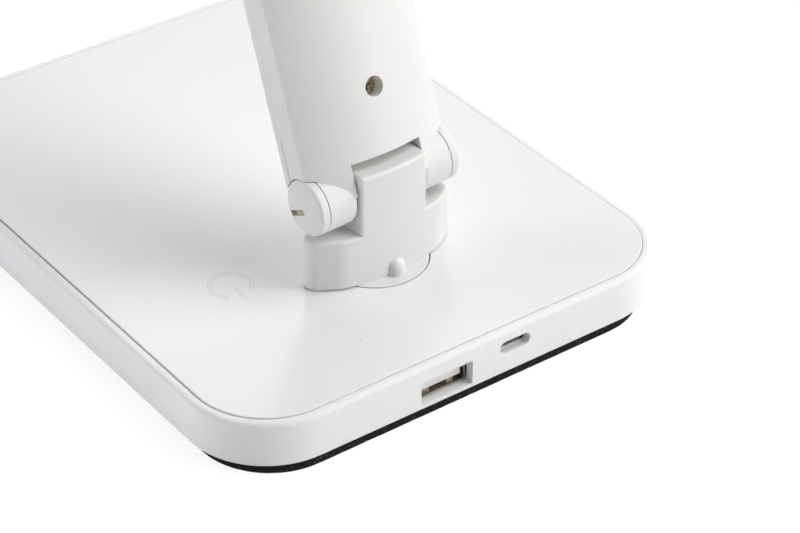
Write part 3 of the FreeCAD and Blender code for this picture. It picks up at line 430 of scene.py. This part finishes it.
def moulded(name, tone, rough, flow=0.03, grain=3500.0, depth=2e-6, scatter=0.0):
    """A moulded plastic; the scatter lets light in and out again within about a millimetre."""
    made, tree, shader = new_material(name)
    skin = use(tree, "moulded_skin", Colour=rgba(tone), Flow=flow, Grain=grain, Roughness=rough,
               Spread=PLASTIC_SPREAD)
    tree.links.new(skin["Colour"], shader.inputs["Base Color"])
    tree.links.new(skin["Roughness"], shader.inputs["Roughness"])
    shader.inputs["IOR"].default_value = PLASTIC_IOR
    shader.inputs["Subsurface Weight"].default_value = scatter
    shader.inputs["Subsurface Radius"].default_value = SCATTER_RADIUS
    shader.inputs["Subsurface Scale"].default_value = SCATTER_SCALE
    raise_grain(tree, shader, skin["Height"], depth)
    return made


def metal(name, tone, rough, streak=900.0, stain=0.2):
    """A bare or plated metal."""
    made, tree, shader = new_material(name)
    skin = use(tree, "drawn_metal", Colour=rgba(tone), Streak=streak, Roughness=rough, Stain=stain)
    tree.links.new(skin["Colour"], shader.inputs["Base Color"])
    tree.links.new(skin["Roughness"], shader.inputs["Roughness"])
    shader.inputs["Metallic"].default_value = 1.0
    raise_grain(tree, shader, skin["Height"], STREAK_DEPTH)
    return made


def satin(name, tone, finish):
    """A satin white moulding of that tone."""
    return moulded(name, tone, finish.satin_rough, depth=SATIN_DEPTH, scatter=finish.scatter)


def cap_white(finish, joint):
    """Satin cap with shade painted into its slot and seam: a darker brown on points under its face's rim and
    close to the hinge axis.
    """
    made = satin(joint + "_cap_white", finish.satin, finish)
    tree = made.node_tree
    shader = next(n for n in tree.nodes if n.type == "BSDF_PRINCIPLED")
    left_low, left_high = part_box(joint + "_cap_left")
    right_low, right_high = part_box(joint + "_cap_right")
    axis = left_high + left_low - right_high - right_low
    turn = math.atan2(axis.y, axis.x)
    reach = (left_high.x - right_low.x) / 2 / math.cos(turn)
    radius = (left_high.z - left_low.z) / 2
    at = put(tree, "ShaderNodeMapping", {
        "Vector": object_point(tree), "Location": (left_low + left_high + right_low + right_high) / 4,
        "Rotation": (0.0, 0.0, turn)}, vector_type="TEXTURE").outputs[0]
    x, y, z = put(tree, "ShaderNodeSeparateXYZ", {0: at}).outputs
    off_axis = sums(tree, "SQRT", sums(tree, "ADD", sums(tree, "POWER", y, 2.0), sums(tree, "POWER", z, 2.0)))
    under = sums(tree, "LESS_THAN", sums(tree, "ABSOLUTE", x), CAP_FACE_SHARE * reach)
    # Painted shade: points recessed in the slot take the darker brown colour instead of the satin white
    slot_shade = sums(tree, "MULTIPLY", under, sums(tree, "LESS_THAN", off_axis, CAP_SLOT_SHARE * radius))
    skin = shader.inputs["Base Color"].links[0].from_socket
    tree.links.new(blended(tree, slot_shade, skin, rgba(finish.slot_shade)), shader.inputs["Base Color"])
    return made


def lid_white(finish):
    """Glossy lid: slow waves in the moulding and a little dust that dulls the gloss."""
    made, tree, shader = new_material("lid_white")
    skin = use(tree, "moulded_skin", Colour=rgba(finish.lid), Flow=0.012, Grain=260.0,
               Roughness=finish.lid_rough, Spread=0.05)
    dust = use(tree, "dust", Cells=260.0, Share=0.035, Dot=0.05)["Mask"]
    tone = blended(tree, dust, skin["Colour"], LID_DUST)
    tree.links.new(tone, shader.inputs["Base Color"])
    tree.links.new(sums(tree, "ADD", skin["Roughness"], sums(tree, "MULTIPLY", dust, 0.5), clamp=True),
                   shader.inputs["Roughness"])
    shader.inputs["IOR"].default_value = LID_IOR
    raise_grain(tree, shader, skin["Height"], LID_WAVE_DEPTH)
    return made


def mark_print(finish):
    """Touch mark: pale strokes with a darker outline, from the distance to each stroke's middle line."""
    made, tree, shader = new_material("mark_print")
    reach = (MARK_HIGH.x - MARK_LOW.x) / 2
    stroke = STROKE_SHARE * reach
    mid = reach - stroke / 2
    at = put(tree, "ShaderNodeMapping", {"Vector": object_point(tree), "Location": (
        -(MARK_LOW.x + reach), -(MARK_LOW.y + reach), -MARK_HIGH.z)}).outputs[0]
    flat = put(tree, "ShaderNodeVectorMath", {0: at, 1: (1.0, 1.0, 0.0)}, operation="MULTIPLY").outputs[0]
    x, y, _ = put(tree, "ShaderNodeSeparateXYZ", {0: flat}).outputs
    radius = put(tree, "ShaderNodeVectorMath", {0: flat}, operation="LENGTH").outputs["Value"]
    off_ring = sums(tree, "ABSOLUTE", sums(tree, "SUBTRACT", radius, mid))
    on_bar = sums(tree, "MINIMUM", sums(tree, "MAXIMUM", y, BAR_FROM * reach), BAR_TO * reach)
    over = sums(tree, "SUBTRACT", y, on_bar)
    off_bar = sums(tree, "SQRT", sums(tree, "ADD", sums(tree, "POWER", x, 2.0),
                                      sums(tree, "POWER", over, 2.0)))
    in_bar = sums(tree, "MULTIPLY", sums(tree, "LESS_THAN", sums(tree, "ABSOLUTE", x), BAR_FIELD * stroke),
                  sums(tree, "GREATER_THAN", y, 0.0))
    off = sums(tree, "ADD", sums(tree, "MULTIPLY", in_bar, off_bar),
               sums(tree, "MULTIPLY", sums(tree, "SUBTRACT", 1.0, in_bar), off_ring))
    line = between(tree, off, LINE_FROM * stroke, LINE_FULL * stroke, smooth=True)
    speckle = sums(tree, "MULTIPLY", noise(tree, at, SPECKLE_SCALE), 0.25)
    dark = sums(tree, "ADD", line, speckle, clamp=True)
    tone = blended(tree, dark, rgba(finish.mark), rgba(finish.mark_line))
    tree.links.new(tone, shader.inputs["Base Color"])
    shader.inputs["Roughness"].default_value = 0.2
    return made


def foam_black(finish):
    """Closed-cell foam: pores and stray pale specks on black."""
    made, tree, shader = new_material("foam_black")
    at = object_point(tree)
    pores = put(tree, "ShaderNodeTexVoronoi", {"Vector": at, "Scale": PORE_SCALE}).outputs["Distance"]
    specks = use(tree, "dust", Cells=1500.0, Share=0.05, Dot=0.28)["Mask"]
    broad = noise(tree, at, CLOUD_SCALE)
    black = blended(tree, between(tree, broad, 0.35, 0.7), rgba(finish.foam),
                    rgba([2.2 * c for c in finish.foam]))
    tone = blended(tree, sums(tree, "MULTIPLY", specks, broad), black, FOAM_SPECK)
    tree.links.new(tone, shader.inputs["Base Color"])
    tree.links.new(between(tree, pores, 0.0, 0.6, 1.0, 0.8), shader.inputs["Roughness"])
    shader.inputs["Specular IOR Level"].default_value = 0.15
    raise_grain(tree, shader, pores, PORE_DEPTH)
    return made


def opal_pane():
    """Opal acrylic window: a soft sheen over milky white with a faint moulded grain."""
    return moulded("opal_pane", (0.88, 0.88, 0.865), 0.32, flow=0.02, grain=900.0, depth=3e-6,
                   scatter=0.6)


def dress_node(node, material):
    """Gives a material to one CAD node."""
    mesh = frame["nodes"][node].data
    mesh.materials.clear()
    mesh.materials.append(material)


def dress(slot, material):
    """Gives one material to every CAD node of a slot."""
    for node in NODES_OF[slot]:
        dress_node(node, material)


# Operators, one for each piece or group of like pieces


class LAMP_OT_foot_pad(bpy.types.Operator):
    """Foam pad with soft, slightly ragged edges, and the lint that clings to it"""

    bl_idname = "lamp.foot_pad"
    bl_label = "Foam pad"

    def execute(self, context):
        pad = context.scene.lamp.pad
        foam = foam_black(context.scene.lamp.finish)
        dress("black_foam", foam)
        piece = new_piece("foam_pad", *self.slab(pad), foam)
        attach(piece, "base")
        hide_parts("foot_pad")
        lint = new_piece("pad_lint", *self.fibres(pad), moulded("lint", (0.5, 0.5, 0.51), 0.8))
        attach(lint, "base")
        return {"FINISHED"}

    @staticmethod
    def slab(pad):
        """Section carried round the pad's plan: rings at (inset, height) that run from the middle of the top
        over a rounded upper edge, down the side, round the lower edge and back to the middle underneath.
        Side rings wander in and out by seeded noise, and the flats shrink to a point in the middle."""
        half = (PAD_HIGH - PAD_LOW) / 2
        low, high = PAD_LOW.z, PAD_HIGH.z
        turn = np.radians([90, 67.5, 45, 22.5, 0])
        upper = np.stack([pad.edge * (1 - np.cos(turn)), high - pad.edge * (1 - np.sin(turn))], axis=-1)
        side = np.stack([np.zeros(3), np.linspace(high - pad.edge, low + pad.edge, 5)[1:-1]], axis=-1)
        back = turn[::-1]
        lower = np.stack([pad.edge * (1 - np.cos(back)), low + pad.edge * (1 - np.sin(back))], axis=-1)
        rings = np.concatenate([upper, side, lower])
        centre, normal = plan_path(half.x, half.y, pad.corner, pad.around)
        rng = np.random.default_rng(FOAM_SEED)
        wander = pad.ragged * np.abs(smooth_noise(rng, len(rings), pad.around, 1.5))
        wander[[0, -1]] = 0.0
        out = (pad.corner - rings[:, :1] - wander)[..., None]
        xy = centre[None] + out * normal[None]
        walls = np.concatenate([xy, np.broadcast_to(rings[:, 1, None, None], xy.shape[:2] + (1,))], axis=-1)
        shrink = np.array([0.001, 0.4, 0.8])[:, None, None]
        top = np.concatenate([walls[:1, :, :2] * shrink, np.full((3, pad.around, 1), high)], axis=-1)
        under = np.concatenate([walls[-1:, :, :2] * shrink[::-1], np.full((3, pad.around, 1), low)], axis=-1)
        points = np.concatenate([top, walls, under]) + PAD_MIDDLE
        faces = grid_faces(len(points), pad.around)[:, ::-1].tolist()
        last = (len(points) - 1) * pad.around
        caps = [list(range(pad.around)), list(range(last, last + pad.around))[::-1]]
        return points, faces + caps

    @staticmethod
    def fibres(pad, steps=7, sides=4, spots=4000):
        """Fibres as thin tubes along parabolas: start + reach * t + bend * t * t, each lying just off the
        pad's side at one of the spots round it, with the rings of the tube square to the fibre's heading."""
        rng = np.random.default_rng(LINT_SEED)
        half = (PAD_HIGH - PAD_LOW) / 2
        centre, normal = plan_path(half.x, half.y, pad.corner, spots)
        pick = rng.integers(0, spots, pad.lint)
        n = np.concatenate([normal[pick], np.zeros((pad.lint, 1))], axis=1)
        level = rng.uniform(PAD_LOW.z + LINT_START, PAD_HIGH.z - LINT_START, (pad.lint, 1))
        start = np.concatenate([centre[pick] + (pad.corner + 2 * pad.fibre) * normal[pick], level], axis=1)
        up = np.array([0.0, 0.0, 1.0])
        along = np.cross(up, n)
        lean = rng.uniform(0, 2 * math.pi, (pad.lint, 1))
        way = np.cos(lean) * along + 0.5 * np.sin(lean) * up
        reach = rng.uniform(*LINT_LENGTH, (pad.lint, 1)) * way
        bend = rng.normal(0, LINT_BEND, (pad.lint, 1)) * along
        bend = bend + rng.uniform(0, LINT_BEND, (pad.lint, 1)) * n
        t = np.linspace(0, 1, steps)[None, :, None]
        path = start[:, None] + reach[:, None] * t + bend[:, None] * t * t
        path[..., 2] = np.clip(path[..., 2], PAD_LOW.z + LINT_CLEAR, PAD_HIGH.z - LINT_CLEAR)
        angle = np.linspace(0, 2 * math.pi, sides, endpoint=False)[None, None, :, None]
        thick = rng.uniform(*LINT_THICK, (pad.lint, 1, 1, 1)) * pad.fibre
        heading = path[:, -1] - path[:, 0]
        heading = heading / np.linalg.norm(heading, axis=1, keepdims=True)
        across = np.cross(heading, n)
        ring = np.cos(angle) * n[:, None, None] + np.sin(angle) * across[:, None, None]
        points = path[:, :, None] + thick * ring + PAD_MIDDLE
        one = grid_faces(steps, sides)
        offsets = (np.arange(pad.lint) * steps * sides)[:, None, None]
        faces = (one[None] + offsets).reshape(-1, 4).tolist()
        rim = np.arange(sides)
        ends = np.stack([rim[::-1], (steps - 1) * sides + rim])
        return points, faces + (ends[None] + offsets).reshape(-1, sides).tolist()


class LAMP_OT_covers(bpy.types.Operator):
    """Satin white base shell, turret, arm covers, caps and head"""

    bl_idname = "lamp.covers"
    bl_label = "Satin covers"

    def execute(self, context):
        finish = context.scene.lamp.finish
        dress("white_satin", satin("satin_white", finish.satin, finish))
        for joint in ("tilt", "head"):
            caps = cap_white(finish, joint)
            dress_node(joint + "_cap_left", caps)
            dress_node(joint + "_cap_right", caps)
        dress_node("base_shell", satin("shell_white", finish.shell, finish))
        return {"FINISHED"}


class LAMP_OT_lid(bpy.types.Operator):
    """Glossy white lid of the base"""

    bl_idname = "lamp.lid"
    bl_label = "Glossy lid"

    def execute(self, context):
        dress("white_gloss", lid_white(context.scene.lamp.finish))
        return {"FINISHED"}


class LAMP_OT_touch_key(bpy.types.Operator):
    """Touch mark in the lid and the foil under it"""

    bl_idname = "lamp.touch_key"
    bl_label = "Touch key"

    def execute(self, context):
        dress("mark_grey", mark_print(context.scene.lamp.finish))
        dress("copper_foil", metal("copper_foil", (0.72, 0.43, 0.25), 0.32))
        return {"FINISHED"}


class LAMP_OT_ports(bpy.types.Operator):
    """Outlet and inlet in the rear wall"""

    bl_idname = "lamp.ports"
    bl_label = "Ports"

    def execute(self, context):
        dress("tinned_steel", metal("tinned_steel", (0.5, 0.44, 0.36), 0.34, streak=1600.0, stain=0.5))
        dress("port_white", moulded("port_white", (0.82, 0.82, 0.8), 0.45, grain=5000.0))
        dress("gold_contact", metal("gold_contact", (0.83, 0.6, 0.3), 0.25, streak=2500.0))
        return {"FINISHED"}


class LAMP_OT_hardware(bpy.types.Operator):
    """Plates, screws, bolts, washers and bushings"""

    bl_idname = "lamp.hardware"
    bl_label = "Hardware"

    def execute(self, context):
        dress("mild_steel", metal("zinc_steel", (0.55, 0.56, 0.57), 0.34, stain=0.25))
        dress("screw_steel", metal("screw_steel", (0.6, 0.61, 0.62), 0.28, streak=2200.0))
        dress("screw_bronze", metal("screw_bronze", (0.5, 0.4, 0.27), 0.3, streak=2400.0, stain=0.5))
        dress("acetal", moulded("acetal", (0.82, 0.81, 0.76), 0.5))
        return {"FINISHED"}


class LAMP_OT_electronics(bpy.types.Operator):
    """Circuit board, its parts, cells and lead"""

    bl_idname = "lamp.electronics"
    bl_label = "Electronics"

    def execute(self, context):
        dress("board_green", moulded("solder_mask", (0.03, 0.2, 0.08), 0.3, flow=0.3, grain=700.0,
                                     depth=1e-5))
        dress("chip_black", moulded("chip_black", (0.02, 0.02, 0.021), 0.55, flow=0.2, grain=4000.0))
        dress("cell_wrap", moulded("cell_wrap", (0.5, 0.52, 0.56), 0.35, flow=0.15, grain=500.0,
                                   depth=2e-5))
        dress("lead_white", moulded("lead_sheath", (0.8, 0.8, 0.79), 0.5))
        return {"FINISHED"}


class LAMP_OT_light(bpy.types.Operator):
    """Opal window, LED board and LEDs"""

    bl_idname = "lamp.light"
    bl_label = "Light source"

    def execute(self, context):
        dress("opal", opal_pane())
        dress("board_white", moulded("white_mask", (0.86, 0.86, 0.86), 0.35, grain=900.0))
        dress("phosphor", moulded("phosphor", (0.9, 0.72, 0.2), 0.6, flow=0.2, grain=6000.0,
                                  depth=1e-5))
        return {"FINISHED"}


class LAMP_OT_studio(bpy.types.Operator):
    """White floor, soft lights and the camera"""

    bl_idname = "lamp.studio"
    bl_label = "Studio"

    def execute(self, context):
        studio = context.scene.lamp.studio
        context.scene.view_settings.view_transform = "Standard"
        self.floor()
        self.sky(context.scene, studio)
        lights = {name: self.soft_light(name + "_light", *place, getattr(studio, name))
                  for name, place in LIGHT_PLACES.items()}
        lights["fill"].data.color = studio.fill_tint
        lights["fill"].visible_glossy = False
        self.camera(context.scene, studio)
        return {"FINISHED"}

    @staticmethod
    def floor():
        """Round floor just under the pad: a polar grid at (r cos a, r sin a), of radius r and angle a."""
        made, tree, shader = new_material("studio_floor")
        shader.inputs["Base Color"].default_value = FLOOR_COLOUR
        shader.inputs["Roughness"].default_value = 1.0
        shader.inputs["Specular IOR Level"].default_value = 0.0
        seen = seen_rays(tree)
        glow = put(tree, "ShaderNodeEmission", {"Color": PLAIN_WHITE, "Strength": FLOOR_GLOW})
        faint = put(tree, "ShaderNodeBsdfDiffuse", {"Color": FLOOR_SHADE})
        white = put(tree, "ShaderNodeAddShader", {0: glow.outputs[0], 1: faint.outputs[0]})
        mixed = put(tree, "ShaderNodeMixShader", {0: seen, 1: shader.outputs[0], 2: white.outputs[0]})
        end = next(n for n in tree.nodes if n.type == "OUTPUT_MATERIAL")
        tree.links.new(mixed.outputs[0], end.inputs[0])
        radius = np.array([0.02, 0.5, 2.0, 6.0])[:, None]
        angle = np.linspace(0, 2 * math.pi, 64, endpoint=False)[None]
        x, y = radius * np.cos(angle), radius * np.sin(angle)
        points = np.stack([x, y, np.full(x.shape, FLOOR_Z)], axis=-1)
        faces = grid_faces(*x.shape).tolist() + [list(range(x.shape[1]))]
        new_piece("studio_floor", points, faces, made)

    @staticmethod
    def sky(scene, studio):
        """Even light all round, seen as plain white."""
        world = bpy.data.worlds.new("studio_sky")
        scene.world = world
        world.use_nodes = True
        tree = world.node_tree
        tree.nodes.clear()
        seen = seen_rays(tree)
        light = put(tree, "ShaderNodeBackground", {"Color": PLAIN_WHITE, "Strength": studio.ambient})
        white = put(tree, "ShaderNodeBackground", {"Color": PLAIN_WHITE, "Strength": 1.0})
        mixed = put(tree, "ShaderNodeMixShader", {0: seen, 1: light.outputs[0], 2: white.outputs[0]})
        tree.links.new(mixed.outputs[0], tree.nodes.new("ShaderNodeOutputWorld").inputs[0])

    @staticmethod
    def soft_light(name, turn, height, watts):
        """Square soft light, by degrees round from +X and degrees up, aimed back at the lamp."""
        light = bpy.data.lights.new(name, "AREA")
        light.size = LIGHT_SIZE
        light.energy = watts
        made = bpy.data.objects.new(name, light)
        turn, height = math.radians(turn), math.radians(height)
        level = math.cos(height)
        way = Vector((level * math.cos(turn), level * math.sin(turn), math.sin(height)))
        made.location = LIGHT_REACH * way
        made.rotation_euler = (LIGHT_AIM - made.location).to_track_quat("-Z", "Y").to_euler()
        bpy.context.scene.collection.objects.link(made)
        return made

    @staticmethod
    def camera(scene, studio):
        """Camera turned about the vertical, tilted down, then rolled about its own line of sight."""
        data = bpy.data.cameras.new("studio_camera")
        data.sensor_fit = "HORIZONTAL"
        data.sensor_width = 36.0
        data.lens = studio.lens
        data.clip_start = 0.01
        data.clip_end = 50.0
        made = bpy.data.objects.new("studio_camera", data)
        aim = (Matrix.Rotation(studio.turn, 3, "Z") @ Matrix.Rotation(math.pi / 2 - studio.tilt, 3, "X")
               @ Matrix.Rotation(studio.roll, 3, "Z"))
        made.location = studio.camera_at
        made.rotation_euler = aim.to_euler()
        scene.collection.objects.link(made)
        scene.camera = made


STEPS = (LAMP_OT_foot_pad, LAMP_OT_covers, LAMP_OT_lid, LAMP_OT_touch_key, LAMP_OT_ports, LAMP_OT_hardware,
         LAMP_OT_electronics, LAMP_OT_light, LAMP_OT_studio)


class LAMP_PT_panel(bpy.types.Panel):
    """Lists the lamp's settings and steps"""

    bl_label = "Table lamp"
    bl_idname = "LAMP_PT_panel"
    bl_space_type = "VIEW_3D"
    bl_region_type = "UI"
    bl_category = "Lamp"

    def draw(self, context):
        settings = context.scene.lamp
        for group in (settings.pad, settings.finish, settings.studio):
            box = self.layout.box()
            for name in group.__annotations__:
                box.prop(group, name)
        for step in STEPS:
            self.layout.operator(step.bl_idname)


CLASSES = (LampPad, LampFinish, LampStudio, LampSettings) + STEPS + (LAMP_PT_panel,)


def register():
    """Registers the classes and hangs the settings on the scene."""
    for cls in CLASSES:
        bpy.utils.register_class(cls)
    bpy.types.Scene.lamp = PointerProperty(type=LampSettings)


def unregister():
    """Takes the settings and classes away again."""
    del bpy.types.Scene.lamp
    for cls in reversed(CLASSES):
        bpy.utils.unregister_class(cls)


def main():
    """Runs every step in order."""
    register()
    for step in STEPS:
        group, name = step.bl_idname.split(".")
        getattr(getattr(bpy.ops, group), name)()


if __name__ == "__main__":
    main()
